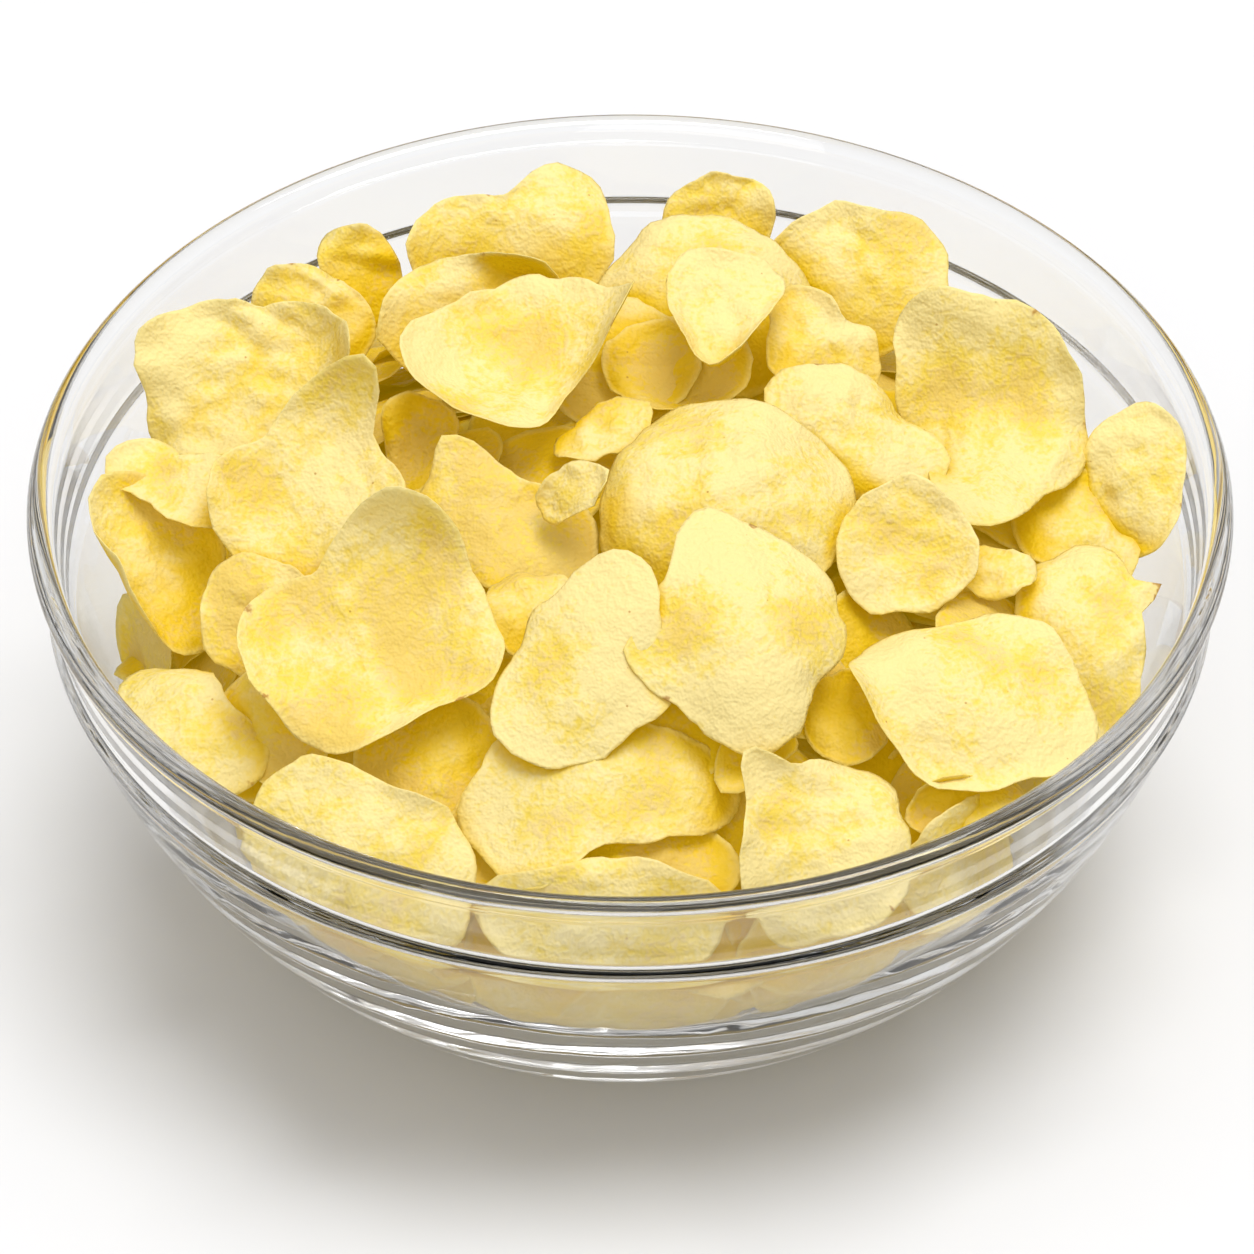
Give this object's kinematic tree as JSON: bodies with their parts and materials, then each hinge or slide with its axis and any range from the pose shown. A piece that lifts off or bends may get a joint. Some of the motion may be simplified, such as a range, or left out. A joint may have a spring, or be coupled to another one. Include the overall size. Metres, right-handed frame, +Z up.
{
  "type": "bowl of crisps",
  "caption": "Clear glass serving bowl with a rolled lip and a stacking shoulder, heaped with thin curled potato crisps.",
  "frame": {"origin": "middle of the foot, on the surface that the bowl stands on", "axes": "+Z up along the bowl's axis, -Y towards the diner, whose side the heap is seen from, +X to their right"},
  "size_m": [0.2598, 0.2598, 0.1329],
  "materials": {
    "glass": "clear, fire polished",
    "fried_potato": "dry, slightly oily, blistered"
  },
  "bodies": {
    "root": {"bowl": "glass", "crisps": "fried_potato"}
  },
  "joints": []
}
